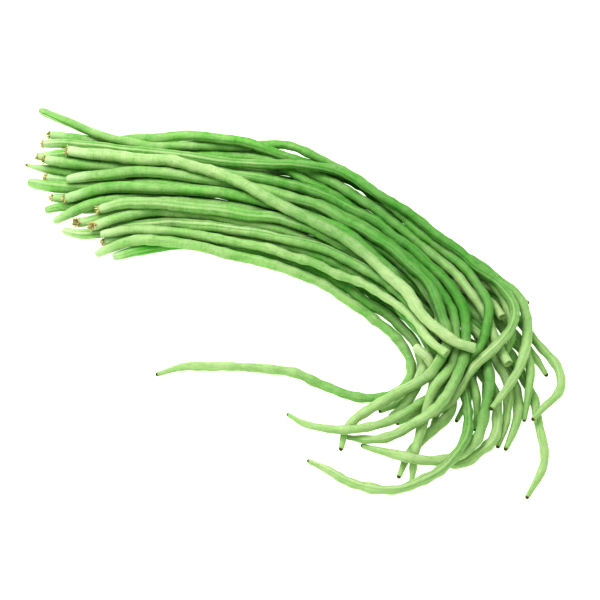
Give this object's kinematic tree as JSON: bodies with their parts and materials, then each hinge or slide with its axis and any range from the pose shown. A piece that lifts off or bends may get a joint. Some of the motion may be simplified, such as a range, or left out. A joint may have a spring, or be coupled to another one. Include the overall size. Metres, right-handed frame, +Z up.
{
  "type": "yardlong bean bunch",
  "caption": "Loose bunch of fresh yardlong beans lying flat, stem ends together and the long tips bent round into a hook.",
  "frame": {"origin": "centre of the bunch's outline on the table it lies on", "axes": "+Z up from the table, +X from the stem ends towards the bend, +Y from the tips' side towards the outer side of the bend"},
  "size_m": [0.4024, 0.3228, 0.0418],
  "materials": {
    "blunt_right_skin": "satin",
    "broad_middle_skin": "satin",
    "crown_loop_skin": "satin",
    "dark_tail_skin": "satin",
    "deep_inner_skin": "satin",
    "deep_outer_skin": "satin",
    "diagonal_skin": "satin",
    "fan_inner_skin": "satin",
    "fan_outer_skin": "satin",
    "far_top_skin": "satin",
    "grey_stalk_skin": "satin",
    "grey_tip_skin": "satin",
    "inner_loop_skin": "satin",
    "knobbly_skin": "satin",
    "lone_tail_skin": "satin",
    "long_pale_skin": "satin",
    "low_star_skin": "satin",
    "lowest_sweep_skin": "satin",
    "mid_crown_skin": "satin",
    "pale_end_skin": "satin",
    "pale_slope_skin": "satin",
    "right_arc_skin": "satin",
    "sepal_crown_skin": "satin",
    "short_end_skin": "satin",
    "star_crown_skin": "satin",
    "stray_skin": "satin",
    "twin_upper_skin": "satin",
    "under_inner_skin": "satin",
    "under_loop_skin": "satin",
    "upright_tip_skin": "satin"
  },
  "bodies": {
    "root": {"blunt_right": "blunt_right_skin", "broad_middle": "broad_middle_skin", "crown_loop": "crown_loop_skin", "dark_tail": "dark_tail_skin", "deep_inner": "deep_inner_skin", "deep_outer": "deep_outer_skin", "diagonal": "diagonal_skin", "fan_inner": "fan_inner_skin", "fan_outer": "fan_outer_skin", "far_top": "far_top_skin", "grey_stalk": "grey_stalk_skin", "grey_tip": "grey_tip_skin", "inner_loop": "inner_loop_skin", "knobbly": "knobbly_skin", "lone_tail": "lone_tail_skin", "long_pale": "long_pale_skin", "low_star": "low_star_skin", "lowest_sweep": "lowest_sweep_skin", "mid_crown": "mid_crown_skin", "pale_end": "pale_end_skin", "pale_slope": "pale_slope_skin", "right_arc": "right_arc_skin", "sepal_crown": "sepal_crown_skin", "short_end": "short_end_skin", "star_crown": "star_crown_skin", "stray": "stray_skin", "twin_upper": "twin_upper_skin", "under_inner": "under_inner_skin", "under_loop": "under_loop_skin", "upright_tip": "upright_tip_skin"}
  },
  "joints": []
}
